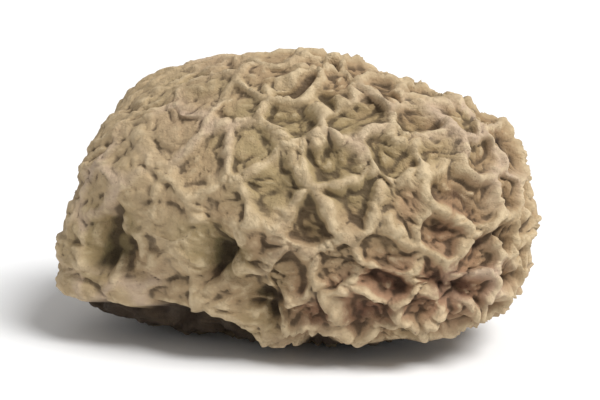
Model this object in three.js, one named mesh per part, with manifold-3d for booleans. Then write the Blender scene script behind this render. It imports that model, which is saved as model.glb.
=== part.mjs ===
// A dried black morel lying on its side: a ridged and pitted cap that runs without a step into the last of
// its trimmed stem. It grew as one piece, so it is one solid.
//
// Millimetres, +Z up. The origin is on the surface that the mushroom rests on, under the middle of its box.
// +X points along the mushroom, from the trimmed stem end to the tip of the cap.
import * as THREE from "three";
import { ConvexHull } from "three/addons/math/ConvexHull.js";
import { mergeVertices } from "three/addons/utils/BufferGeometryUtils.js";
import Module from "manifold-3d";

// Overall size.
const LENGTH = 22.4;
const WIDTH = 14.2;
const HEIGHT = 13.4;

// Body: a rounded egg, fuller than an ellipsoid, widest below the middle of its height and blunt at the stem.
// Each range below holds the coordinates, along a direction from the middle, between which a change happens.
const ROUNDNESS_ABOVE = 2.3; // 2 is an ellipsoid, and more is boxier
const ROUNDNESS_BELOW = 2.9;
const ROUNDNESS_RANGE = [-0.5, 0.3]; // from below to above
const STEM_BLUNTNESS = 0.9; // added to the roundness along the body, towards the stem
const STEM_BLUNTNESS_RANGE = [0, 0.8];
const WIDEST_AT = 0.4; // share of the height below the widest level
const TIP_TAPER = 0.1; // how much narrower the tip end is than the middle
const TIP_TAPER_RANGE = [-0.2, 1];

// Broad swellings and hollows of the shrunken cap: where they face, their spread and how far they rise.
const LUMPS = [
  { towards: [0.15, -0.1, 1], spread: 0.5, rise: 0.3 }, // crown
  { towards: [0.55, 0.1, 1], spread: 0.22, rise: -0.5 }, // saddle behind the shoulder
  { towards: [1, 0.1, 0.88], spread: 0.28, rise: 1 }, // shoulder by the tip
  { towards: [-0.85, -0.4, 0.95], spread: 0.35, rise: -0.8 }, // slope down to the stem
  { towards: [-0.35, -1, -0.25], spread: 0.3, rise: -0.35 }, // fold low on the front
  { towards: [-0.1, -1, 0.35], spread: 0.35, rise: 0.25 }, // cheek on the front
  { towards: [0.2, 1, 0.3], spread: 0.4, rise: 0.35 }, // cheek on the back
  { towards: [-0.4, 1, 0.1], spread: 0.35, rise: -0.45 }, // fold on the back
  { towards: [-1, -0.6, -0.65], spread: 0.4, rise: 0.7 }, // fullness under the stem end
  { towards: [-1, 0, 0.1], spread: 0.42, rise: -0.9 }, // blunt cut across the stem
];

// The underside: pressed flat by its own weight. Above it the skin rolls in, from a low edge most of the way
// round, and from a higher edge, and further in, in a cave under the front of the stem end. The front reaches
// the surface at a foot. Cave and foot grow from their first distance off the middle to their second.
const REST_DEPTH = 0.45;
const EDGE_HEIGHT = 1.5;
const EDGE_RECESS = 1.1;
const CAVE_HEIGHT = 2.3;
const CAVE_RECESS = 1.6;
const CAVE_FORWARD = [-1.5, 2.5];
const CAVE_STEMWARD = [-0.5, 2.5];
const ROLL = 0.55; // height in which the skin rolls in
const RECESS_REACH = [0.15, 0.7]; // shares of the way out from the middle between which the recess grows
const FOOT = 0.5; // place of the foot along the length
const FOOT_REACH = 1.1;
const FOOT_FORWARD = [0, 2];
const FOOT_DROP = 0.7; // share by which the edge drops at the foot

// Pits, walled by ridges. They are shallow by the stem and deep by the tip.
const PIT_COUNT = 210;
const PIT_JITTER = 0.08; // how far a pit strays from even spacing, as a share of the body's radius
const PIT_DEPTH = 1.0;
const FLOOR_SHARE = 0.52; // reach of a pit's floor, as a share of the pit
const FLOOR_DEPTH = 0.82; // how far down the edge of the floor is, as a share of the way from crest to bottom
const RIDGE_SHARE = 0.84; // reach of a pit inside its blunt ridges, as a share of the pit
const RIDGE_DEPTH = 0.16; // how far down the edge of a blunt ridge is
const BLUNT_FROM = 0.45; // pits less deep than this have sharp ridges
const STEM_RELIEF = 0.17; // depth of the pits by the stem, as a share of the depth by the tip
const STEM_RELIEF_RANGE = [-0.5, 0.25];
const PRESSED = 0.75; // share of their depth that the pits underneath lose
const PRESSED_RANGE = [0.55, 0.95];
const RIDGE_DIP = 0.3; // how far the crests rise and fall along their run
const RIDGE_WAVER = 0.035; // how far the ridges wander, as a share of the body's radius

// The trimmed stub of the stem: a puckered rim that stands off the blunt end, round a small mouth.
const STUB_RADIUS = 2.4;
const STUB_RISE = 0.35;
const STUB_ROOT = 2; // how far it runs into the body
const RIM_RADIUS = 1.4; // where the rim stands highest
const SHOULDER_RADIUS = 2; // where the stub rounds over towards the rim
const SHOULDER_RISE = 0.2;
const MIDDLE_RISE = 0.28; // of the stub at the mouth, lower than the rim
const STUB_FOLDS = 13;
const FOLD_DEPTH = 0.06; // as a share of the radius
const MOUTH_RADIUS = 0.75;
const MOUTH_DEPTH = 1.3;
const THROAT_RADIUS = 0.45;
const THROAT_DEPTH = 0.8;
const FLARE_RADIUS = 1.3; // of the mouth, clear of the rim
const FLARE_HEIGHT = 0.7;

const wasm = await Module();
wasm.setup();

// A repeatable scatter between -1 and 1.
function scatter(index, channel) {
  const wave = Math.sin(index * 12.9898 + channel * 78.233) * 43758.5453;
  return 2 * (wave - Math.floor(wave)) - 1;
}

function smoothStep(from, to, value) {
  const share = THREE.MathUtils.clamp((value - from) / (to - from), 0, 1);
  return share * share * (3 - 2 * share);
}

// Where a direction from the middle of the body meets its smooth surface.
function bodyPoint(direction) {
  const { x, y, z } = direction;
  const upwards = smoothStep(...ROUNDNESS_RANGE, z);
  const roundness = THREE.MathUtils.lerp(ROUNDNESS_BELOW, ROUNDNESS_ABOVE, upwards);
  const across = (Math.abs(y) ** roundness + Math.abs(z) ** roundness) ** (1 / roundness);
  const along = roundness + STEM_BLUNTNESS * smoothStep(...STEM_BLUNTNESS_RANGE, -x);
  const size = (Math.abs(x) ** along + across ** along) ** (1 / along);
  const narrowing = 1 - TIP_TAPER * smoothStep(...TIP_TAPER_RANGE, x / size);
  const half = z > 0 ? 1 - WIDEST_AT : WIDEST_AT;
  const point = new THREE.Vector3(
    ((x / size) * LENGTH) / 2,
    ((y / size) * narrowing * WIDTH) / 2,
    (z / size) * narrowing * half * HEIGHT,
  );
  for (const { towards, spread, rise } of LUMPS) {
    const gap = direction.distanceTo(new THREE.Vector3(...towards).normalize());
    point.addScaledVector(direction, rise * Math.exp(-((gap / spread) ** 2)));
  }
  return point;
}

// The outward normal of the smooth body, from two short steps along it.
function bodyNormal(direction) {
  const step = 1e-3;
  const across = new THREE.Vector3(0, 0, 1).cross(direction);
  if (across.length() < 0.1) across.set(1, 0, 0).cross(direction);
  across.normalize();
  const upwards = direction.clone().cross(across);
  const here = bodyPoint(direction);
  const beside = bodyPoint(direction.clone().addScaledVector(across, step).normalize()).sub(here);
  const above = bodyPoint(direction.clone().addScaledVector(upwards, step).normalize()).sub(here);
  return beside.cross(above).normalize();
}

// The directions of the pits: a spiral of evenly spaced ones from the tip to the stem, each strayed a little.
function pitDirections() {
  const turn = Math.PI * (3 - Math.sqrt(5));
  const directions = [];
  for (let i = 0; i < PIT_COUNT; i += 1) {
    const along = 1 - (2 * (i + 0.5)) / PIT_COUNT;
    const reach = Math.sqrt(1 - along * along);
    const direction = new THREE.Vector3(along, reach * Math.cos(turn * i), reach * Math.sin(turn * i));
    const stray = new THREE.Vector3(scatter(i, 1), scatter(i, 2), scatter(i, 3));
    directions.push(direction.addScaledVector(stray, PIT_JITTER).normalize());
  }
  return directions;
}

// How deep the pits are in this direction: shallow by the stem, and pressed flat underneath.
function pitDepth(direction) {
  const byStem = THREE.MathUtils.lerp(STEM_RELIEF, 1, smoothStep(...STEM_RELIEF_RANGE, direction.x));
  const pressed = 1 - PRESSED * smoothStep(...PRESSED_RANGE, -direction.z);
  return PIT_DEPTH * byStem * pressed;
}

// A slow swell and a quick one, between -1 and 1, that make the ridges wander and dip.
function swell(direction, shift) {
  const { x, y, z } = direction;
  const slow = Math.sin(7 * x + 5 * y - 3 * z + shift) * Math.sin(6 * z - 4 * y + 2 * shift);
  const quick = Math.sin(17 * x - 13 * z + 3 * shift) * Math.sin(15 * y + 11 * z - shift);
  return (slow + quick) / 2;
}

// A point of the skin: the body's surface in a direction that wanders a little, sunk by a depth.
function skinPoint(direction, depth) {
  const waver = new THREE.Vector3(swell(direction, 1), swell(direction, 2), swell(direction, 3));
  const wandered = direction.clone().addScaledVector(waver, RIDGE_WAVER).normalize();
  return bodyPoint(wandered).addScaledVector(bodyNormal(wandered), -depth);
}

// How far the crest of a ridge dips in this direction.
function crestDip(direction) {
  return RIDGE_DIP * (0.5 + 0.5 * swell(direction, 4)) * (pitDepth(direction) / PIT_DEPTH);
}

// A ring of points inside a pit: a share of the way out to its rim, and of the way down to its bottom.
function pitRing(middle, rim, wayOut, wayDown) {
  const depth = pitDepth(middle);
  return rim.map((direction) => {
    const inside = middle.clone().lerp(direction, wayOut).normalize();
    return skinPoint(inside, THREE.MathUtils.lerp(crestDip(direction), depth, wayDown));
  });
}

// The corners where the ridges round a pit meet, in order, anticlockwise from outside.
function cornersAround(edgeIn) {
  const corners = [];
  let edge = edgeIn;
  do {
    corners.push(edge.face.normal.clone().normalize());
    edge = edge.next.twin;
  } while (edge !== edgeIn);
  return corners.reverse();
}

// One pit: a ring of crests, one at the edge of the blunt ridges where the pit is deep enough for them, one
// at the edge of the floor, and the middle of the floor.
function addPit(triangles, middle, corners) {
  const rim = [];
  corners.forEach((corner, i) => {
    const next = corners[(i + 1) % corners.length];
    rim.push(corner, corner.clone().add(next).normalize());
  });
  const depth = pitDepth(middle);
  const bottom = skinPoint(middle, depth);
  const rings = [rim.map((direction) => skinPoint(direction, crestDip(direction)))];
  if (depth > BLUNT_FROM) rings.push(pitRing(middle, rim, RIDGE_SHARE, RIDGE_DEPTH));
  rings.push(pitRing(middle, rim, FLOOR_SHARE, FLOOR_DEPTH));
  for (let i = 0; i < rim.length; i += 1) {
    const j = (i + 1) % rim.length;
    for (let k = 1; k < rings.length; k += 1) {
      const outer = rings[k - 1];
      const inner = rings[k];
      triangles.push(outer[i], outer[j], inner[i]);
      triangles.push(inner[i], outer[j], inner[j]);
    }
    const floor = rings[rings.length - 1];
    triangles.push(floor[i], floor[j], bottom);
  }
}

// The whole skin: every pit with its share of the ridges. The hull round the pits' directions says which are
// neighbours.
function skinGeometry() {
  const directions = pitDirections();
  const hull = new ConvexHull().setFromPoints(directions);
  const edgeInto = new Map();
  for (const face of hull.faces) {
    for (let k = 0; k < 3; k += 1) edgeInto.set(face.getEdge(k).head().point, face.getEdge(k));
  }
  const triangles = [];
  for (const middle of directions) addPit(triangles, middle, cornersAround(edgeInto.get(middle)));
  return mergeVertices(new THREE.BufferGeometry().setFromPoints(triangles), 1e-4);
}

function toManifold(geometry) {
  return new wasm.Manifold(
    new wasm.Mesh({
      numProp: 3,
      vertProperties: new Float32Array(geometry.getAttribute("position").array),
      triVerts: new Uint32Array(geometry.index.array),
    }),
  );
}

function fromManifold(solid) {
  const mesh = solid.getMesh();
  const geometry = new THREE.BufferGeometry();
  geometry.setAttribute("position", new THREE.BufferAttribute(mesh.vertProperties, 3));
  geometry.setIndex(new THREE.BufferAttribute(mesh.triVerts, 1));
  return geometry;
}

// A solid turned round the stem's axis, with folds round it. Its profile holds radii and heights off the
// blunt end of the body.
function turnedOnStem(profile) {
  const points = profile.map(([radius, height]) => new THREE.Vector2(radius, height));
  const geometry = new THREE.LatheGeometry(points, 4 * STUB_FOLDS);
  geometry.deleteAttribute("normal");
  geometry.deleteAttribute("uv");
  const places = geometry.getAttribute("position");
  for (let i = 0; i < places.count; i += 1) {
    const fold = 1 - FOLD_DEPTH * Math.cos(STUB_FOLDS * Math.atan2(places.getZ(i), places.getX(i)));
    places.setXYZ(i, places.getX(i) * fold, places.getY(i), places.getZ(i) * fold);
  }
  const end = bodyPoint(new THREE.Vector3(-1, 0, 0));
  geometry.rotateZ(Math.PI / 2).translate(end.x, end.y, end.z);
  return toManifold(mergeVertices(geometry));
}

// Adds the stub of the stem to the skin, and opens its mouth.
function withStem(geometry) {
  const stub = turnedOnStem([
    [0, -STUB_ROOT],
    [STUB_RADIUS, -STUB_ROOT],
    [STUB_RADIUS, -STUB_RISE],
    [SHOULDER_RADIUS, SHOULDER_RISE],
    [RIM_RADIUS, STUB_RISE],
    [0, MIDDLE_RISE],
  ]);
  const mouth = turnedOnStem([
    [0, -MOUTH_DEPTH],
    [THROAT_RADIUS, -THROAT_DEPTH],
    [MOUTH_RADIUS, 0],
    [FLARE_RADIUS, FLARE_HEIGHT],
    [0, FLARE_HEIGHT],
  ]);
  return fromManifold(toManifold(geometry).add(stub).subtract(mouth));
}

// Rolls the skin in below its edge, straight in from an ellipse that fills the box seen from above, and puts
// the resting level at z = 0.
function settle(geometry) {
  geometry.computeBoundingBox();
  const rest = geometry.boundingBox.min.z + REST_DEPTH;
  const places = geometry.getAttribute("position");
  for (let i = 0; i < places.count; i += 1) {
    const x = places.getX(i);
    const y = places.getY(i);
    const z = places.getZ(i) - rest;
    const cave = smoothStep(...CAVE_FORWARD, -y) * smoothStep(...CAVE_STEMWARD, -x);
    const foot = Math.exp(-(((x - FOOT) / FOOT_REACH) ** 2)) * smoothStep(...FOOT_FORWARD, -y);
    const edge = THREE.MathUtils.lerp(EDGE_HEIGHT * (1 - FOOT_DROP * foot), CAVE_HEIGHT, cave);
    const wayOut = Math.hypot((2 * x) / LENGTH, (2 * y) / WIDTH);
    const rolled = smoothStep(0, ROLL, edge - z) * smoothStep(...RECESS_REACH, wayOut);
    const recess = THREE.MathUtils.lerp(EDGE_RECESS, CAVE_RECESS, cave) * rolled;
    const outwards = new THREE.Vector2(x / LENGTH ** 2, y / WIDTH ** 2).normalize();
    places.setXYZ(i, x - outwards.x * recess, y - outwards.y * recess, z);
  }
  return geometry;
}

// Cuts the underside flat at z = 0, where the mushroom rests.
function restFlat(geometry) {
  const below = new THREE.BoxGeometry(2 * LENGTH, 2 * WIDTH, HEIGHT);
  below.deleteAttribute("normal");
  below.deleteAttribute("uv");
  below.translate(0, 0, -HEIGHT / 2);
  return fromManifold(toManifold(geometry).subtract(toManifold(mergeVertices(below))));
}

// Stretches the skin to the stated size and stands it on the origin.
function fitToSize(geometry) {
  geometry.computeBoundingBox();
  const { min, max } = geometry.boundingBox;
  geometry.translate(-(min.x + max.x) / 2, -(min.y + max.y) / 2, -min.z);
  geometry.scale(LENGTH / (max.x - min.x), WIDTH / (max.y - min.y), HEIGHT / (max.z - min.z));
  geometry.computeVertexNormals();
  return geometry;
}

function makeMorel() {
  const flesh = new THREE.MeshStandardMaterial({ color: 0x927e65, roughness: 0.85, metalness: 0 });
  const morel = new THREE.Mesh(fitToSize(restFlat(settle(withStem(skinGeometry())))), flesh);
  morel.name = "morel";
  return morel;
}

const group = new THREE.Group();
group.add(makeMorel());

export default group;
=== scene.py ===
"""A dried black morel lying on its side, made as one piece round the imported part.

The skin is a smooth egg that is pressed in at the pits, and its ridges, folds and trimmed stem end are
worked out as whole arrays. Shapes are in millimetres here and go into the mesh in metres.
"""

import itertools

import bpy
import numpy as np
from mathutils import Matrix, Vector


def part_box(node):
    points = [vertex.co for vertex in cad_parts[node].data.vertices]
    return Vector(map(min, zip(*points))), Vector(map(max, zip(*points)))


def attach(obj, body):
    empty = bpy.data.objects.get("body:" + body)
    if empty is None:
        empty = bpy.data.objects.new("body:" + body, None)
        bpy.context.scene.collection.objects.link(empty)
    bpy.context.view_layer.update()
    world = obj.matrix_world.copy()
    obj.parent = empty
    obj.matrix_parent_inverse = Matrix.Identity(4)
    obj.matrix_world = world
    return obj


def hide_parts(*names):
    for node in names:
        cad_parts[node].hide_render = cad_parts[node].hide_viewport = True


MM = 0.001

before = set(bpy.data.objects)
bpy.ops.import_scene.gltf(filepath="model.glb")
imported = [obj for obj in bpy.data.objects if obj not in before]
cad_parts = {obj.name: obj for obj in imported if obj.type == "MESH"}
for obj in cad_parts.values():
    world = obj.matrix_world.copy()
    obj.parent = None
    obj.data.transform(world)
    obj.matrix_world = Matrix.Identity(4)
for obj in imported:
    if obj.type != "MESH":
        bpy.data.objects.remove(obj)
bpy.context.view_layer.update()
low_corner, high_corner = (np.array(corner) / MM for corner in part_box("morel"))
LENGTH, WIDTH, HEIGHT = high_corner - low_corner

# ---------------------------------------------------------------- camera, light and floor

CAMERA_AZIMUTH = 18.0
CAMERA_ELEVATION = 13.0
LENS = 90.0
SENSOR = 36.0
NEAREST_SEEN = 1.0  # millimetres in front of the camera
AIM_HEIGHT = 0.47  # where the camera looks, as a share of the mushroom's height
VIEW_WIDTH = 28.0  # millimetres across the picture at the middle of the mushroom
WHITE = (1.0, 1.0, 1.0, 1.0)
AROUND = 0.43  # strength of the light from all round
FLOOR_SIZE = 4000.0
FLOOR_COLOUR = (0.9, 0.9, 0.9, 1.0)
FLOOR_ROUGHNESS = 0.7


def direction_to(azimuth, elevation):
    """The unit vector from the mushroom towards a viewer. Azimuth 0 is -Y, and 90 is +X."""
    a, e = np.radians((azimuth, elevation))
    return np.array((np.sin(a) * np.cos(e), -np.cos(a) * np.cos(e), np.sin(e)))


def aim(thing, place, target):
    """Puts a camera or a light at a place in metres, looking at a target."""
    thing.location = place
    thing.rotation_euler = (Vector(target) - Vector(place)).to_track_quat("-Z", "Y").to_euler()


def make_camera():
    """A long lens, at the height and turn from which the mushroom is seen."""
    data = bpy.data.cameras.new("camera")
    data.lens = LENS
    data.sensor_width = SENSOR
    data.clip_start = NEAREST_SEEN * MM
    camera = bpy.data.objects.new("camera", data)
    bpy.context.scene.collection.objects.link(camera)
    distance = VIEW_WIDTH * MM * LENS / SENSOR
    target = np.array((0.0, 0.0, AIM_HEIGHT * HEIGHT * MM))
    aim(camera, target + distance * direction_to(CAMERA_AZIMUTH, CAMERA_ELEVATION), target)
    bpy.context.scene.camera = camera


def make_light(name, azimuth, elevation, strength, spread):
    """A wide, soft light from far away, so that it falls evenly on the mushroom and on the floor."""
    data = bpy.data.lights.new(name, "SUN")
    data.angle = np.radians(spread)
    data.energy = strength
    light = bpy.data.objects.new(name, data)
    bpy.context.scene.collection.objects.link(light)
    aim(light, direction_to(azimuth, elevation), (0.0, 0.0, 0.0))


def make_world():
    """Soft light from all round, in front of a plain white background."""
    world = bpy.data.worlds.new("studio")
    world.use_nodes = True
    nodes, links = world.node_tree.nodes, world.node_tree.links
    around = nodes["Background"]
    around.inputs["Color"].default_value = WHITE
    around.inputs["Strength"].default_value = AROUND
    backdrop = nodes.new("ShaderNodeBackground")
    backdrop.inputs["Color"].default_value = WHITE
    seen = nodes.new("ShaderNodeLightPath")
    mix = nodes.new("ShaderNodeMixShader")
    links.new(seen.outputs["Is Camera Ray"], mix.inputs[0])
    links.new(around.outputs[0], mix.inputs[1])
    links.new(backdrop.outputs[0], mix.inputs[2])
    links.new(mix.outputs[0], nodes["World Output"].inputs["Surface"])
    bpy.context.scene.world = world


def make_floor():
    """A wide pale sheet under the mushroom."""
    half = 0.5 * FLOOR_SIZE * MM
    corners = [(-half, -half, 0.0), (half, -half, 0.0), (half, half, 0.0), (-half, half, 0.0)]
    mesh = bpy.data.meshes.new("floor")
    mesh.from_pydata(corners, [], [(0, 1, 2, 3)])
    floor = bpy.data.objects.new("floor", mesh)
    bpy.context.scene.collection.objects.link(floor)
    material = bpy.data.materials.new("pale_floor")
    material.use_nodes = True
    shader = material.node_tree.nodes["Principled BSDF"]
    shader.inputs["Base Color"].default_value = FLOOR_COLOUR
    shader.inputs["Roughness"].default_value = FLOOR_ROUGHNESS
    mesh.materials.append(material)


bpy.context.scene.view_settings.view_transform = "Standard"
make_camera()
make_world()
make_floor()
make_light("key", azimuth=74, elevation=52, strength=3.55, spread=30)

# ---------------------------------------------------------------- numbers on arrays

TINY = 1e-9  # added to vectors that may have no length, before they are made unit


def blend(low, high, share):
    return low + (high - low) * share


def smooth_step(start, end, value):
    share = np.clip((value - start) / (end - start), 0.0, 1.0)
    return share * share * (3.0 - 2.0 * share)


def bell(gap):
    """1 where the gap is 0, falling off on both sides as a Gaussian."""
    return np.exp(-(gap**2))


def unit(vectors):
    return vectors / np.linalg.norm(vectors, axis=-1, keepdims=True)


# A swell or a drift is given by its strength, its size and its seed, and creases by width, size and seed.
SLOPE_COUNT = 4096  # a power of two
SLOPES = unit(np.random.default_rng(11).normal(size=(SLOPE_COUNT, 3)))
HASH = np.array((73856093, 19349663, 83492791))
SEED_SHIFT = 31.7
NOISE_GAIN = 1.6
PART_SEEDS = (0.0, 0.37, 0.71)


def noise(points, size, seed):
    """Gradient noise between about -1 and 1: a random slope at each corner of cubes of this size, blended
    smoothly inside each cube."""
    scaled = points / size + SEED_SHIFT * seed
    cell = np.floor(scaled).astype(np.int64)
    inside = scaled - cell
    fade = inside**3 * (inside * (inside * 6.0 - 15.0) + 10.0)
    total = np.zeros(len(points))
    for corner in itertools.product((0, 1), repeat=3):
        keys = (cell + corner) * HASH
        slope = SLOPES[(keys[:, 0] ^ keys[:, 1] ^ keys[:, 2]) & (SLOPE_COUNT - 1)]
        weight = np.prod(np.where(corner, fade, 1.0 - fade), axis=1)
        total += weight * np.einsum("ij,ij->i", slope, inside - corner)
    return NOISE_GAIN * total


def swell(points, strength, size, seed):
    """One noise, as high as its strength."""
    return strength * noise(points, size, seed)


def drift(points, strength, size, seed):
    """Three such noises side by side, as the parts of a vector."""
    return strength * np.stack([noise(points, size, seed + part) for part in PART_SEEDS], axis=1)


def creases(points, width, size, seed):
    """1 along the winding lines where a noise crosses 0, and 0 where it is over a width."""
    return 1.0 - smooth_step(0.0, width, np.abs(noise(points, size, seed)))


# ---------------------------------------------------------------- the smooth body

# A roundness of 2 is an ellipsoid, and more is boxier. A range holds the coordinates, along a direction from
# the middle, between which a change happens.
ROUNDNESS_ABOVE = 2.3
ROUNDNESS_BELOW = 2.9
ROUNDNESS_RANGE = (-0.5, 0.3)
STEM_BLUNTNESS = 0.9
STEM_BLUNTNESS_RANGE = (0.0, 0.8)
WIDEST_AT = 0.4  # share of the height below the widest level
TIP_TAPER = 0.1
TIP_TAPER_RANGE = (-0.2, 1.0)

# Broad swellings and hollows: the direction they face, their spread, and how far they rise in millimetres.
LUMPS = (
    ((0.15, -0.1, 1.0), 0.5, 0.3),  # crown
    ((0.55, 0.1, 1.0), 0.22, -0.5),  # saddle behind the shoulder
    ((1.0, 0.1, 0.88), 0.28, 1.0),  # shoulder by the tip
    ((-0.85, -0.4, 0.95), 0.35, -0.8),  # slope down to the stem
    ((-0.35, -1.0, -0.25), 0.3, -0.35),  # fold low on the front
    ((-0.1, -1.0, 0.35), 0.35, 0.25),  # cheek on the front
    ((0.2, 1.0, 0.3), 0.4, 0.35),  # cheek on the back
    ((-0.4, 1.0, 0.1), 0.35, -0.45),  # fold on the back
    ((-1.0, -0.6, -0.65), 0.4, 0.7),  # fullness under the stem end
    ((-1.0, 0.0, 0.1), 0.42, -0.9),  # blunt cut across the stem
)

NORMAL_STEP = 1e-3
NEAR_POLE = 0.9


def gap_to(directions, towards):
    """How far each direction is from a given one, as the length of the chord between them."""
    return np.linalg.norm(directions - unit(np.array(towards)), axis=1)


def body(directions):
    """Where each direction from the middle meets the smooth body: an egg whose squareness grows downwards,
    blunter at the stem and narrower at the tip, with Gaussian swellings and hollows along the direction."""
    power = blend(ROUNDNESS_BELOW, ROUNDNESS_ABOVE, smooth_step(*ROUNDNESS_RANGE, directions[:, 2]))
    across = np.sum(np.abs(directions[:, 1:]) ** power[:, None], axis=1) ** (1.0 / power)
    power += STEM_BLUNTNESS * smooth_step(*STEM_BLUNTNESS_RANGE, -directions[:, 0])
    size = (np.abs(directions[:, 0]) ** power + across**power) ** (1.0 / power)
    share = directions / size[:, None]
    narrowing = 1.0 - TIP_TAPER * smooth_step(*TIP_TAPER_RANGE, share[:, 0])
    half = np.where(share[:, 2] > 0.0, 1.0 - WIDEST_AT, WIDEST_AT)
    points = np.stack(
        (
            share[:, 0] * LENGTH / 2.0,
            share[:, 1] * narrowing * WIDTH / 2.0,
            share[:, 2] * narrowing * half * HEIGHT,
        ),
        axis=1,
    )
    for towards, spread, rise in LUMPS:
        points += directions * (rise * bell(gap_to(directions, towards) / spread))[:, None]
    return points


def body_normals(directions):
    """The outward normals of the smooth body, from two short steps along it."""
    pole = np.where(np.abs(directions[:, 2:]) > NEAR_POLE, (1.0, 0.0, 0.0), (0.0, 0.0, 1.0))
    across = unit(np.cross(pole, directions))
    upwards = np.cross(directions, across)
    here = body(directions)
    beside = body(unit(directions + NORMAL_STEP * across)) - here
    above = body(unit(directions + NORMAL_STEP * upwards)) - here
    return unit(np.cross(beside, above))


def round_axis(directions):
    """Which way each direction lies round the mushroom's long axis, as a unit vector across it."""
    return unit(directions[:, 1:] + TINY)


# ---------------------------------------------------------------- the trimmed stem end

# A gap here is a chord from the stem's pole, on a sphere of radius 1. Rises and depths are in millimetres.
STEM_END = (-1.0, 0.0, 0.0)
POLE_SCALE = 2.0  # radius of the sphere on which the noises round the pole are read
STUB_WAVER = (0.22, 1.6, 21)
STUB_EDGE = (0.29, 0.41)
STUB_RISE = 0.25
GROOVE_GAP = 0.36
GROOVE_WIDTH = 0.06
GROOVE_DEPTH = 0.45
RIM_GAP = 0.19
RIM_WIDTH = 0.08
RIM_RISE = 0.4
FOLDS = (0.35, 0.55, 23)
FOLDS_DRAWN_OUT = (1.0, 1.0, 0.5)
FOLD_DEPTH = 0.28
FOLDS_IN_GROOVE = 0.6
MOUTH_SQUEEZE = 1.7
MOUTH_LEAN = 0.35
MOUTH_WAVER = (0.03, 0.7, 22)
MOUTH_EDGE = (0.02, 0.15)
MOUTH_DEPTH = 1.5

WRINKLES_ROUND = 4.5  # radius of the ring on which the wrinkles' noise is read
WRINKLE_LENGTH = 3.0  # how far it is drawn out along the mushroom
WRINKLE_BEND = (0.25, 2.0, 24)
WRINKLES = ((0.24, (0.4, 1.5, 25)), (0.12, (0.4, 0.7, 26)))  # a depth and its creases


def stem_end(directions):
    """(rise, stub, mouth): the trimmed stub of the stem. Its border wavers with the angle round the pole. A
    rim stands up round a small squeezed mouth, radial folds run over the rim, and a groove parts the stub
    from the cap."""
    gap = gap_to(directions, STEM_END)
    round_pole = POLE_SCALE * np.column_stack((round_axis(directions), gap))
    gap = gap * (1.0 + swell(round_pole, *STUB_WAVER))
    stub = 1.0 - smooth_step(*STUB_EDGE, gap)
    rim = bell((gap - RIM_GAP) / RIM_WIDTH)
    groove = bell((gap - GROOVE_GAP) / GROOVE_WIDTH)
    squeezed = np.hypot(directions[:, 1] * MOUTH_SQUEEZE, directions[:, 2] + MOUTH_LEAN * directions[:, 1])
    mouth = 1.0 - smooth_step(*MOUTH_EDGE, squeezed + swell(round_pole, *MOUTH_WAVER))
    folds = creases(round_pole * FOLDS_DRAWN_OUT, *FOLDS)
    rise = STUB_RISE * stub + RIM_RISE * rim - GROOVE_DEPTH * groove - MOUTH_DEPTH * mouth
    rise -= FOLD_DEPTH * folds * np.maximum(rim, FOLDS_IN_GROOVE * groove)
    return rise, stub, mouth


def wrinkles(directions, points):
    """Long soft folds that run from the stem end towards the tip: the creases of a noise that is drawn out
    along the mushroom and gathers round its end."""
    gathered = np.column_stack((WRINKLES_ROUND * round_axis(directions), points[:, 0] / WRINKLE_LENGTH))
    bent = gathered + drift(points, *WRINKLE_BEND)
    return sum(depth * creases(bent, *lines) for depth, lines in WRINKLES)


# ---------------------------------------------------------------- pits and ridges

# The pits and the small creases in them: how many there are, how far they stray, the channel of their
# scatter, and how round their corners are in millimetres.
PIT_COUNT = 210
PIT_JITTER = 0.08
PIT_CHANNEL = 1
PIT_ROUNDING = 0.08
CELL_COUNT = 6 * PIT_COUNT
CELL_JITTER = 0.04
CELL_CHANNEL = 7
CELL_ROUNDING = 0.04

# The drifts that bend the walls, the creases and the wells, and the ragged border between the pits and the
# smoother flesh by the stem.
WANDER = (0.6, 2.9, 1)
QUICK_WANDER = (0.38, 1.3, 2)
FINE_WANDER = (0.12, 0.55, 10)
CELL_WANDER = (0.2, 0.8, 11)
WELL_WANDER = (0.45, 1.1, 28)
PITTED_WAVER = (0.15, 3.5, 20)
PITTED_RANGE = (-0.5, 0.25)

# The depth of the pits in millimetres, and shares of it.
PIT_DEPTH = 0.72
STEM_RELIEF = 0.17  # how much of it is left by the stem
DEPTH_VARIETY = 0.3
DEPTH_CHANNEL = 5
WALL_SHARE = 0.8  # at the foot of a wall
GAP_DEPTH = 0.5  # of the gaps in the ridges
GAPS = (1.7, 3)  # size and seed of their noise
GAP_RANGE = (0.05, 0.6)
DIPS = (0.12, 0.9, 12)

# Distances from the nearest wall, in millimetres: the two edges of a pit's side, the edges between which its
# floor goes on sinking, and the edge of a small crease.
RIDGE_EDGE = 0.06
WALL_FOOT = 0.5
RIDGE_WAVER = (0.35, 2.0, 14)
FLOOR_RANGE = (0.5, 1.1)
CELL_EDGE = 0.22

# Heights and depths in millimetres, and the shares by which they fade on the floors of the pits.
RIBS = (0.09, 0.4, 13)
CREASE_DEPTH = 0.17
CREASE_FADE = 0.4
CRUMPLES = ((0.12, (0.3, 0.85, 5)), (0.07, (0.3, 0.48, 15)))  # a depth and its creases
CRUMPLE_WANDER = 0.15  # how much more of the wander bends them
CRUMPLE_FADE = 0.5
STEM_CRUMPLES = 0.6  # how much of them is left by the stem
BROAD_SWELL = (0.25, 5.5, 7)
SHORT_SWELL = (0.18, 2.8, 8)

# How dark a well, a crease and the mouth are painted, on the scale on which the floor of a pit is 1.
# This darkness is painted shade in these hollows.
WELL_DARKNESS = 1.2
CREASE_DARKNESS = 0.12
MOUTH_DARKNESS = 1.25
DARKEST = 1.3

# Round one direction on the front the pits are shallower by this share.
CALM_AREA = (0.3, -1.0, 0.4)
CALM_SPREAD = 0.5
CALM = 0.2
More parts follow.
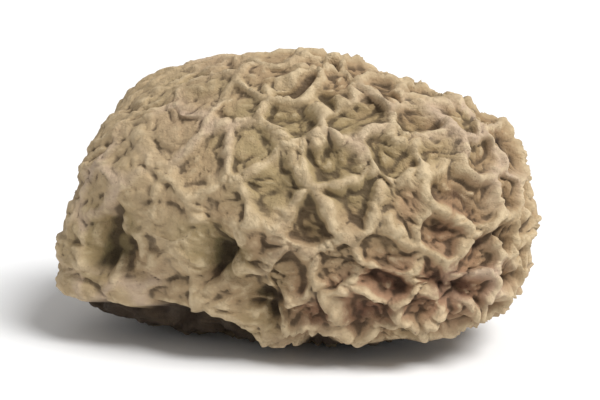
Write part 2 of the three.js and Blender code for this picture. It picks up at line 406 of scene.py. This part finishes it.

# Wells, deeper than the pits and darkened by painted shade: the direction they face, their radius and
# their depth.
WELLS = (
    ((-0.67, -1.0, -0.02), 1.3, 1.25),
    ((-0.17, -1.0, 0.04), 1.1, 1.4),
    ((0.02, -1.0, -0.38), 0.75, 1.1),
    ((0.25, -0.65, 1.0), 0.6, 0.4),
    ((0.55, -1.0, 0.8), 0.6, 0.4),
    ((0.55, -1.0, -0.15), 0.85, 0.8),
    ((1.0, -1.0, -0.25), 0.9, 0.9),
    ((1.0, -1.0, 0.35), 0.6, 0.35),
    ((1.0, -0.6, 0.15), 0.6, 0.6),
    ((1.0, -0.4, 0.35), 0.6, 0.5),
    ((0.4, 1.0, 0.1), 1.0, 0.9),
    ((-0.3, 1.0, -0.1), 0.9, 0.8),
    ((0.75, 1.0, 0.6), 0.7, 0.6),
)
WELL_STEEPNESS = 2.5
WELL_BREAK = 0.8  # how much of the ridges a well breaks

SCATTER_STEP = 12.9898
CHANNEL_STEP = 78.233
SCATTER_GAIN = 43758.5453


def scatter(index, channel):
    """A repeatable scatter between -1 and 1: the last digits of a large sine wave."""
    wave = np.sin(index * SCATTER_STEP + channel * CHANNEL_STEP) * SCATTER_GAIN
    return 2.0 * (wave - np.floor(wave)) - 1.0


def spiral_directions(count, jitter, channel):
    """A spiral of evenly spaced directions from the tip to the stem, each strayed a little."""
    index = np.arange(count, dtype=float)
    turn = np.pi * (3.0 - np.sqrt(5.0)) * index
    along = 1.0 - 2.0 * (index + 0.5) / count
    reach = np.sqrt(1.0 - along * along)
    spiral = np.stack((along, reach * np.cos(turn), reach * np.sin(turn)), axis=1)
    stray = np.stack([scatter(index, channel + part) for part in range(3)], axis=1)
    return unit(spiral + jitter * stray)


def nearest_wall(points, middles, rounding):
    """(distance, pit, foot) for one block of points, see walls."""
    neighbours = 7
    squares = np.sum(points**2, axis=1)[:, None] - 2.0 * points @ middles.T + np.sum(middles**2, axis=1)
    nearest = np.argpartition(squares, neighbours, axis=1)[:, :neighbours]
    squares = np.take_along_axis(squares, nearest, axis=1)
    order = np.argsort(squares, axis=1)
    nearest = np.take_along_axis(nearest, order, axis=1)
    squares = np.take_along_axis(squares, order, axis=1)
    own = nearest[:, :1]
    across = middles[nearest[:, 1:]] - middles[own]
    apart = np.linalg.norm(across, axis=2)
    to_walls = (squares[:, 1:] - squares[:, :1]) / (2.0 * apart)
    shares = np.exp(-to_walls / rounding)
    distance = np.maximum(-rounding * np.log(shares.sum(axis=1)), 0.0)
    shares /= shares.sum(axis=1, keepdims=True)
    step = np.einsum("ij,ijk->ik", shares * to_walls / apart, across)
    return distance, own[:, 0], points + step


def walls(points, middles, rounding, block=16000):
    """(distance, pit, foot): how far each point is from the nearest wall between two pits, with the pit's
    corners rounded off, the number of the pit that it is in, and the point of the wall that it faces. A wall
    stands halfway between the middles of two pits."""
    blocks = (points[start : start + block] for start in range(0, len(points), block))
    parts = [nearest_wall(part, middles, rounding) for part in blocks]
    return [np.concatenate(column) for column in zip(*parts)]


def relief(directions, points):
    """(height, crest, depth, stem): how far the skin stands over the smooth body, how much of each point is
    ridge crest, how deep and dark it lies in a pit, and how much of it is the trimmed stem. The pits sink by
    smooth steps of the distance from the nearest wall, then the ridges dip, small walls crease the flesh,
    folds and wrinkles crumple it, and the wells sink as steep bells."""
    pitted = smooth_step(*PITTED_RANGE, directions[:, 0] + swell(points, *PITTED_WAVER))
    stem_rise, stem, mouth = stem_end(directions)
    calm = bell(gap_to(directions, CALM_AREA) / CALM_SPREAD)
    strength = blend(STEM_RELIEF, 1.0, pitted) * (1.0 - stem) * (1.0 - CALM * calm)
    wander = drift(points, *WANDER) + drift(points, *QUICK_WANDER)
    warped = points + wander + drift(points, *FINE_WANDER)
    middles = body(spiral_directions(PIT_COUNT, PIT_JITTER, PIT_CHANNEL))
    distance, pit, foot = walls(warped, middles, PIT_ROUNDING)
    cells = body(spiral_directions(CELL_COUNT, CELL_JITTER, CELL_CHANNEL))
    cell_distance, _, _ = walls(warped + drift(points, *CELL_WANDER), cells, CELL_ROUNDING)

    deeper = 1.0 + DEPTH_VARIETY * scatter(pit, DEPTH_CHANNEL)
    width = 1.0 + swell(points, *RIDGE_WAVER)
    slope = smooth_step(RIDGE_EDGE * width, WALL_FOOT * width, distance)
    midway = 4.0 * slope * (1.0 - slope)  # 1 half way down a wall
    floor = smooth_step(*FLOOR_RANGE, distance)
    crest = 1.0 - slope
    crease = 1.0 - smooth_step(0.0, CELL_EDGE, cell_distance)
    sunk = strength * deeper * blend(floor, slope, WALL_SHARE)
    gaps = GAP_DEPTH * smooth_step(*GAP_RANGE, noise(points, *GAPS))
    dips = strength * (gaps + swell(warped, *DIPS)) * crest
    height = -PIT_DEPTH * (sunk + dips)
    height -= CREASE_DEPTH * strength * crease * (1.0 - CREASE_FADE * slope)
    height += swell(foot, *RIBS) * midway * strength
    height -= (1.0 - pitted) * (1.0 - stem) * wrinkles(directions, points)
    crumpled = blend(STEM_CRUMPLES, 1.0, pitted) * (1.0 - stem) * (1.0 - CRUMPLE_FADE * floor)
    for fold_depth, lines in CRUMPLES:
        height -= fold_depth * crumpled * creases(warped + CRUMPLE_WANDER * wander, *lines)
    height += swell(points, *BROAD_SWELL) + swell(points, *SHORT_SWELL)

    crooked = warped + drift(points, *WELL_WANDER)
    for towards, radius, well_depth in WELLS:
        middle = body(unit(np.array((towards,))))
        away = np.linalg.norm(crooked - middle, axis=1) / radius
        well = np.exp(-(away**WELL_STEEPNESS))
        height -= well_depth * well
        # Painted shade: a well's depth also darkens its colour.
        sunk += WELL_DARKNESS * well_depth * well
        crest *= 1.0 - WELL_BREAK * np.minimum(well_depth, 1.0) * well
    # The depth mask darkens the colour: in the pits partly the flesh's own browner colour and partly painted
    # shade, and only painted shade in the creases, the wells and the mouth.
    depth = np.clip(sunk + CREASE_DARKNESS * crease * strength, 0.0, DARKEST)
    return height + stem_rise, crest, np.maximum(depth, MOUTH_DARKNESS * mouth), stem * (1.0 - mouth)


# ---------------------------------------------------------------- how the mushroom lies

# The underside is pressed flat, and the skin rolls in above it: from a low edge most of the way round, and
# from a higher edge, and further in, in a cave under the front of the stem end. The front touches the
# surface at a foot. Cave and foot grow from their first distance off the middle to their second.
PRESSED = 0.4
SOFTNESS = 0.1
EDGE_HEIGHT = 1.5
EDGE_WAVERS = ((0.3, 2.6, 27), (0.12, 0.8, 29))
EDGE_RECESS = 1.1
CAVE_HEIGHT = 2.3
CAVE_RECESS = 1.6
CAVE_FORWARD = (-1.5, 2.5)
CAVE_STEMWARD = (-0.5, 2.5)
ROLL = 0.55  # the height in which the skin rolls in
RECESS_REACH = (0.15, 0.7)  # shares of the way out from the middle between which the recess grows
RECESS_WAVER = (0.3, 1.1, 39)
FOOT = 0.5  # place of the foot along the length
FOOT_REACH = 1.1
FOOT_FORWARD = (0.0, 2.0)
FOOT_DROP = 0.7  # share by which the edge drops at the foot
# The painted shade of the recess reaches the flat underside by this share.
FLAT_SHADE = 0.45  # how much of the recess's shade the flat underside has
FLAT_RANGE = (0.1, 0.5)


def settle(points):
    """(points, under): the mushroom as it lies. Its underside is pressed flat. Below a ragged edge the skin
    steps in by a recess, along the normal of the ellipse that fills the box from above, and the step fades
    out towards the middle of the underside. Under is 1 in the recess, less on the flat underside, and 0
    above the edge."""
    points = points.copy()
    x, y, height = points[:, 0], points[:, 1], points[:, 2] - points[:, 2].min() - PRESSED
    points[:, 2] = SOFTNESS * np.logaddexp(0.0, height / SOFTNESS)
    cave = smooth_step(*CAVE_FORWARD, -y) * smooth_step(*CAVE_STEMWARD, -x)
    foot = bell((x - FOOT) / FOOT_REACH) * smooth_step(*FOOT_FORWARD, -y)
    edge = blend(EDGE_HEIGHT * (1.0 - FOOT_DROP * foot), CAVE_HEIGHT, cave)
    level = points * (1.0, 1.0, 0.0)
    edge *= 1.0 + sum(swell(level, *waver) for waver in EDGE_WAVERS)
    under = smooth_step(0.0, ROLL, edge - points[:, 2])
    share = points[:, :2] / (0.5 * LENGTH, 0.5 * WIDTH)
    outwards = unit(share / (LENGTH, WIDTH) + TINY)
    recess = blend(EDGE_RECESS, CAVE_RECESS, cave) * smooth_step(*RECESS_REACH, np.hypot(*share.T)) * under
    recess *= 1.0 + swell(points, *RECESS_WAVER)
    points[:, :2] -= outwards * recess[:, None]
    # Under, returned here, is the mask of the painted shade on the underside: 1 in the recess, less on the
    # flat underside.
    return points, under * blend(FLAT_SHADE, 1.0, smooth_step(*FLAT_RANGE, points[:, 2]))


def fit_to_box(points):
    """Stretches the skin a little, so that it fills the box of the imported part."""
    low, high = points.min(axis=0), points.max(axis=0)
    return low_corner + (points - low) * (high_corner - low_corner) / (high - low)


# ---------------------------------------------------------------- where the flesh is tinted and creased

# The direction of each patch, and its spread.
RUSSET_SPOTS = (
    ((0.5, -1.0, -0.3), 0.4),
    ((1.0, -1.0, -0.35), 0.4),
    ((-0.55, 1.0, 0.2), 0.5),
    ((0.6, 0.9, -0.4), 0.4),
)
OLIVE_SPOTS = (
    ((0.3, -1.0, 0.7), 0.5),
    ((-0.17, -1.0, 0.0), 0.25),
    ((-0.75, -1.0, 0.0), 0.3),
    ((-0.5, -0.4, 1.0), 0.3),
    ((0.4, 1.0, 0.6), 0.5),
)
# Pinkish painted highlights on the ridges, in these spots.
PAINTED_HIGHLIGHT_SPOTS = (
    ((1.0, -0.3, 0.75), 0.35),
    ((1.0, -0.6, -0.2), 0.3),
    ((-0.8, -0.9, 0.35), 0.3),
    ((-0.75, -1.0, -0.5), 0.3),
    ((-0.3, 0.8, 0.9), 0.4),
)
SPOT_EDGE = (0.5, 1.1)
SPOT_WAVER = (0.35, 2.5)  # strength and size
SPOT_FRAY = (0.2, 1.0)
CLOUD_SIZE = 5.0
CLOUD_RANGE = (0.25, 0.7)
CLOUD_STRENGTH = 0.8

SMOOTHINGS = 10  # how often the surroundings of a point are averaged


def tint(directions, points, spots, seed):
    """How much of a tint, or of a painted highlight, lies at each point from 0 to 1: soft round spots in
    given directions, with ragged edges, and a few clouds elsewhere."""
    nearest = np.min([gap_to(directions, towards) / spread for towards, spread in spots], axis=0)
    ragged = nearest + swell(points, *SPOT_WAVER, seed) + swell(points, *SPOT_FRAY, seed + 1)
    clouds = CLOUD_STRENGTH * smooth_step(*CLOUD_RANGE, noise(points, CLOUD_SIZE, seed + 2))
    return np.maximum(1.0 - smooth_step(*SPOT_EDGE, ragged), clouds)


def hollowness(points, quads):
    """How far each point of the skin lies below the average of its surroundings, in millimetres: over 0 in a
    crease and under 0 on an edge. The surroundings are each point's neighbours, averaged again and again."""
    ends = np.concatenate([np.stack((quads[:, i], quads[:, (i + 1) % 4]), axis=1) for i in range(4)])
    count = np.bincount(ends[:, 0], minlength=len(points))
    around = points
    for _ in range(SMOOTHINGS):
        sums = [
            np.bincount(ends[:, 0], weights=around[ends[:, 1], axis], minlength=len(points))
            for axis in range(3)
        ]
        around = np.stack(sums, axis=1) / count[:, None]
    corners = points[quads]
    facing = np.cross(corners[:, 2] - corners[:, 0], corners[:, 3] - corners[:, 1])
    normals = [np.bincount(quads.ravel(), weights=np.repeat(facing[:, axis], 4)) for axis in range(3)]
    return np.sum((around - points) * unit(np.stack(normals, axis=1)), axis=1)


# ---------------------------------------------------------------- the skin as a mesh

GRID = 129
SHEET_MARGIN = 0.02  # round each side of the cube on the map, as a share of its square
SHARED_DIGITS = 6  # directions that agree in so many digits are one
LEAN = (0.3, 3.0, 9)


def cube_grid(cells):
    """(directions, quads, map): a cube's six square grids blown up to a sphere, with even angles between the
    lines. The map gives each side of the cube its own square of a sheet of three by two."""
    line = np.tan(np.linspace(-1.0, 1.0, cells + 1) * np.pi / 4.0)
    flat_line = np.linspace(SHEET_MARGIN, 1.0 - SHEET_MARGIN, cells + 1)
    u, v = (part.ravel() for part in np.meshgrid(line, line, indexing="ij"))
    flat_u, flat_v = (part.ravel() for part in np.meshgrid(flat_line, flat_line, indexing="ij"))
    one = np.ones_like(u)
    corner = np.arange(cells * (cells + 1)).reshape(cells, cells + 1)[:, :cells].ravel()
    square = np.stack((corner, corner + cells + 1, corner + cells + 2, corner + 1), axis=1)
    directions, quads, sheet = [], [], []
    for side, (axis, sign) in enumerate(itertools.product(range(3), (1.0, -1.0))):
        grid = np.roll(np.stack((sign * one, sign * u, v), axis=1), axis, axis=1)
        directions.append(grid)
        quads.append(square + side * len(u))
        sheet.append(np.stack((flat_u + side // 2, flat_v + side % 2), axis=1) / (3.0, 2.0))
    directions = unit(np.concatenate(directions))
    quads = np.concatenate(quads)
    sheet = np.concatenate(sheet)[quads.ravel()]
    rounded = np.round(directions, SHARED_DIGITS)
    _, first, shared = np.unique(rounded, axis=0, return_index=True, return_inverse=True)
    return directions[first], shared.ravel()[quads], sheet


def make_skin():
    """The skin: the smooth body moved along its normals by the relief, with the crests leaning a little
    sideways, laid down and fitted to the box. The materials' masks are kept on its points."""
    directions, quads, sheet = cube_grid(GRID)
    smooth = body(directions)
    normals = body_normals(directions)
    height, crest, depth, stem = relief(directions, smooth)
    lean = drift(smooth, *LEAN) * crest[:, None]
    lean -= normals * np.sum(lean * normals, axis=1)[:, None]
    points, under = settle(smooth + normals * height[:, None] + lean)
    points = fit_to_box(points)

    mesh = bpy.data.meshes.new("black_morel")
    mesh.vertices.add(len(points))
    mesh.vertices.foreach_set("co", (points * MM).ravel())
    mesh.loops.add(quads.size)
    mesh.loops.foreach_set("vertex_index", quads.ravel())
    mesh.polygons.add(len(quads))
    mesh.polygons.foreach_set("loop_start", np.arange(0, quads.size, 4))
    mesh.update(calc_edges=True)
    mesh.polygons.foreach_set("use_smooth", np.ones(len(quads), dtype=bool))
    mesh.uv_layers.new(name="OFBake").data.foreach_set("uv", sheet.ravel())
    masks = {
        "crest": crest,
        "depth": depth,
        "hollow": hollowness(points, quads),
        "stem": stem,
        "under": under,
        "russet": tint(directions, smooth, RUSSET_SPOTS, seed=30),
        "olive": tint(directions, smooth, OLIVE_SPOTS, seed=33),
        "painted_highlight": tint(directions, smooth, PAINTED_HIGHLIGHT_SPOTS, seed=36),
    }
    for name, values in masks.items():
        mesh.attributes.new(name, "FLOAT", "POINT").data.foreach_set("value", values.astype(np.float32))
    mesh.validate()
    skin = bpy.data.objects.new("black_morel", mesh)
    bpy.context.scene.collection.objects.link(skin)
    return skin


skin = make_skin()

# ---------------------------------------------------------------- shader maths


def srgb(red, green, blue):
    """A colour given as it looks, from 0 to 255, as the light that it reflects."""
    parts = np.array((red, green, blue)) / 255.0
    light = np.where(parts <= 0.04045, parts / 12.92, ((parts + 0.055) / 1.055) ** 2.4)
    return (*map(float, light), 1.0)


class Value:
    """A socket that carries a number. An expression of such values adds the Math nodes that work it out."""

    def __init__(self, material, socket):
        self.material = material
        self.socket = socket

    def maths(self, operation, first, second):
        return self.material.value("ShaderNodeMath", {"operation": operation}, {0: first, 1: second})

    def __add__(self, other):
        return self.maths("ADD", self, other)

    def __radd__(self, other):
        return self.maths("ADD", other, self)

    def __sub__(self, other):
        return self.maths("SUBTRACT", self, other)

    def __rsub__(self, other):
        return self.maths("SUBTRACT", other, self)

    def __mul__(self, other):
        return self.maths("MULTIPLY", self, other)

    def __rmul__(self, other):
        return self.maths("MULTIPLY", other, self)

    def between(self, start, end):
        """0 below start, 1 above end, and a smooth step between them."""
        settings = {"interpolation_type": "SMOOTHSTEP"}
        inputs = {"Value": self, "From Min": start, "From Max": end}
        return self.material.value("ShaderNodeMapRange", settings, inputs)


class Material:
    """A node material on a Principled shader."""

    def __init__(self, name):
        self.made = bpy.data.materials.new(name)
        self.made.use_nodes = True
        self.tree = self.made.node_tree
        self.shader = self.tree.nodes["Principled BSDF"]
        self.place = self.node("ShaderNodeTexCoord").outputs["Object"]

    def node(self, kind, settings=None, inputs=None):
        """A node of this type, with its settings made first, and then its inputs set or linked."""
        made = self.tree.nodes.new(kind)
        for name, setting in (settings or {}).items():
            setattr(made, name, setting)
        for name, given in (inputs or {}).items():
            self.feed(made.inputs[name], given)
        return made

    def feed(self, socket, given):
        """Links a socket to another or to a Value, or sets it."""
        given = given.socket if isinstance(given, Value) else given
        if isinstance(given, bpy.types.NodeSocket):
            self.tree.links.new(given, socket)
        else:
            socket.default_value = given

    def value(self, kind, settings=None, inputs=None, output=0):
        return Value(self, self.node(kind, settings, inputs).outputs[output])

    def attribute(self, name):
        """A number kept on the mesh's points."""
        return self.value("ShaderNodeAttribute", {"attribute_name": name}, output="Fac")

    def noise(self, size, place=None, settings=None, **inputs):
        """Soft noise from 0 to 1 with features of this size in millimetres."""
        inputs = {"Vector": place or self.place, "Scale": 1.0 / (size * MM), **inputs}
        return self.value("ShaderNodeTexNoise", settings, inputs, "Fac")

    def mix(self, share, first, second, how="MIX"):
        """A colour between two, or the second laid over the first in another way."""
        settings = {"data_type": "RGBA", "blend_type": how}
        return self.node("ShaderNodeMix", settings, {0: share, 6: first, 7: second}).outputs[2]

    def coat(self, base, finish, mask, where=1.0):
        """A finish over a base, as strongly as its cover, its band of the mask and where allow."""
        colour, cover, band = finish
        return self.mix(cover * where * mask.between(*band), base, colour)


# ---------------------------------------------------------------- the dried flesh

# A finish holds its colour, the most that it covers, and the band of its mask over which it sets in.
CREST = srgb(182, 159, 124)
# A brown that is partly the pits' own colour and partly their painted shade. The streaks use it too.
PIT_BROWN_AND_SHADE = srgb(150, 124, 92)
# A dark brown: the flesh's own colour in the specks, and painted shade in the creases.
SPECK_AND_SHADE_BROWN = srgb(60, 46, 34)
# Wall, pit and deepest colours follow the depth: partly the flesh's own browner colour and partly painted
# shade. The deepest is painted shade in the wells and the mouth.
WALL = (srgb(168, 143, 109), 1.0, (0.02, 0.5))
PIT = (PIT_BROWN_AND_SHADE, 1.0, (0.4, 1.0))
DEEPEST_SHADE = (srgb(50, 34, 22), 1.0, (0.95, 1.3))
STEM = (srgb(190, 156, 112), 1.0, (0.3, 0.6))
ROSE = (srgb(150, 122, 100), 0.35, (0.5, 0.68))
RUSSET = (srgb(148, 106, 82), 0.5, (0.05, 0.6))
OLIVE = (srgb(150, 137, 94), 0.45, (-0.1, 0.5))
# The pinkish colour of the painted highlight, and how much of the crests it covers.
PAINTED_HIGHLIGHT = srgb(196, 172, 154)
PAINTED_HIGHLIGHT_COVER = 0.5
# Painted shade in the creases, where the skin lies below its surroundings.
CREASE_SHADE = (SPECK_AND_SHADE_BROWN, 0.72, (0.01, 0.09))
# Pale dust on the edges that stand out, partly a painted highlight.
DUST_AND_HIGHLIGHT = (srgb(200, 180, 146), 0.7, (0.35, 0.6))
DUST_AND_HIGHLIGHT_EDGE = (0.0, 0.09)  # millimetres that an edge stands out
SPECKS = (SPECK_AND_SHADE_BROWN, 0.6, (0.62, 0.75))
SPECKLED = (0.4, 0.6)  # band of the patches that have specks
STREAKS = (PIT_BROWN_AND_SHADE, 0.35, (0.55, 0.75))
# Painted shade on the underside and in the recess above the floor: a dark brown.
PAINTED_UNDER_SHADE = srgb(52, 40, 30)
PAINTED_UNDER_SHADE_COVER = 0.95

# Shade and roughness: their levels, and how much the noises and masks change them.
AVERAGE = 0.5  # of a noise
RAGGED = 0.3  # how far the mottling shifts the depth
SHADE = 0.76
MOTTLE_SHADE = 0.48
# How much more the mottling varies within the painted shade on the underside.
PAINTED_UNDER_SHADE_MOTTLE = 1.2
ROUGHNESS = 0.78
MOTTLE_ROUGHNESS = 0.2
CREST_SMOOTHNESS = 0.18
SPECULAR = 0.35

# The fine bumps: how far each pattern stands out, and the height of it all in millimetres.
GRAIN_RISE = 0.4
FOLD_SINK = 0.5
FIBRE_RISE = 0.7
STREAK_SINK = 0.6
BUMP_STRENGTH = 0.9
BUMP_HEIGHT = 0.14
STREAKS_DRAWN_OUT = (0.22, 1.0, 1.0)

MASKS = ("crest", "depth", "hollow", "stem", "under", "russet", "olive", "painted_highlight")


def make_flesh():
    """Dry morel flesh: khaki ridges over brown walls and dark pits, their darkening partly the flesh's own
    colour and partly painted shade, clouded with rose and olive, with pinkish painted highlights on the
    ridges, pale dust and painted highlight on the edges of the ridges, painted shade in the creases,
    specks and streaks, and painted shade on the underside."""
    flesh = Material("dried_flesh")
    crest, depth, hollow, stem, under, russet, olive, painted_highlight = map(flesh.attribute, MASKS)
    cloud = flesh.noise(size=6.0)
    patch = flesh.noise(size=2.4, Detail=3.0)
    mottle = flesh.noise(size=0.8, Detail=4.0, Roughness=0.65)
    grain = flesh.noise(size=0.14, Detail=3.0, Roughness=0.6)
    fibres = flesh.noise(size=0.22, Detail=4.0, Roughness=0.7, Distortion=1.2)
    stretch = {0: flesh.place, 1: STREAKS_DRAWN_OUT}
    drawn_out = flesh.node("ShaderNodeVectorMath", {"operation": "MULTIPLY"}, stretch)
    streaks = flesh.noise(size=0.35, place=drawn_out.outputs[0], Detail=4.0, Roughness=0.6, Distortion=0.5)
    folds = flesh.noise(size=0.45, settings={"noise_type": "RIDGED_MULTIFRACTAL"}, Detail=3.0, Distortion=0.6)

    wavering = depth + RAGGED * (mottle - AVERAGE)
    # The pits' darkening: partly the flesh's own browner colour and partly painted shade, the deepest being
    # painted shade.
    colour = flesh.coat(CREST, WALL, wavering)
    colour = flesh.coat(colour, PIT, wavering)
    colour = flesh.coat(colour, DEEPEST_SHADE, wavering)
    colour = flesh.coat(colour, STEM, mottle, where=stem)
    colour = flesh.coat(colour, ROSE, cloud)
    colour = flesh.coat(colour, RUSSET, wavering, where=russet)
    colour = flesh.coat(colour, OLIVE, wavering, where=olive)
    # Painted highlight: pinkish light on the crests within the spots.
    colour = flesh.mix(PAINTED_HIGHLIGHT_COVER * painted_highlight * crest, colour, PAINTED_HIGHLIGHT)
    # Painted shade in the creases.
    colour = flesh.coat(colour, CREASE_SHADE, hollow)
    # Pale dust on the edges that stand out, partly a painted highlight.
    colour = flesh.coat(colour, DUST_AND_HIGHLIGHT, mottle, where=(0.0 - hollow).between(*DUST_AND_HIGHLIGHT_EDGE))
    colour = flesh.coat(colour, SPECKS, grain, where=patch.between(*SPECKLED))
    colour = flesh.coat(colour, STREAKS, streaks)
    # Painted shade on the underside and in its recess, mottled more strongly than the rest.
    colour = flesh.mix(PAINTED_UNDER_SHADE_COVER * under, colour, PAINTED_UNDER_SHADE)
    shade = SHADE + MOTTLE_SHADE * mottle + PAINTED_UNDER_SHADE_MOTTLE * under * (mottle - AVERAGE)
    grey = flesh.node("ShaderNodeCombineColor", None, {0: shade, 1: shade, 2: shade})
    colour = flesh.mix(1.0, colour, grey.outputs[0], "MULTIPLY")
    flesh.feed(flesh.shader.inputs["Base Color"], colour)
    roughness = ROUGHNESS + MOTTLE_ROUGHNESS * mottle - CREST_SMOOTHNESS * crest
    flesh.feed(flesh.shader.inputs["Roughness"], roughness)
    flesh.shader.inputs["Specular IOR Level"].default_value = SPECULAR

    surface = GRAIN_RISE * grain - FOLD_SINK * folds + FIBRE_RISE * fibres - STREAK_SINK * streaks
    inputs = {"Strength": BUMP_STRENGTH, "Distance": BUMP_HEIGHT * MM, "Height": surface}
    flesh.feed(flesh.shader.inputs["Normal"], flesh.node("ShaderNodeBump", None, inputs).outputs["Normal"])
    return flesh.made


skin.data.materials.append(make_flesh())
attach(skin, "root")
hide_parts("morel")
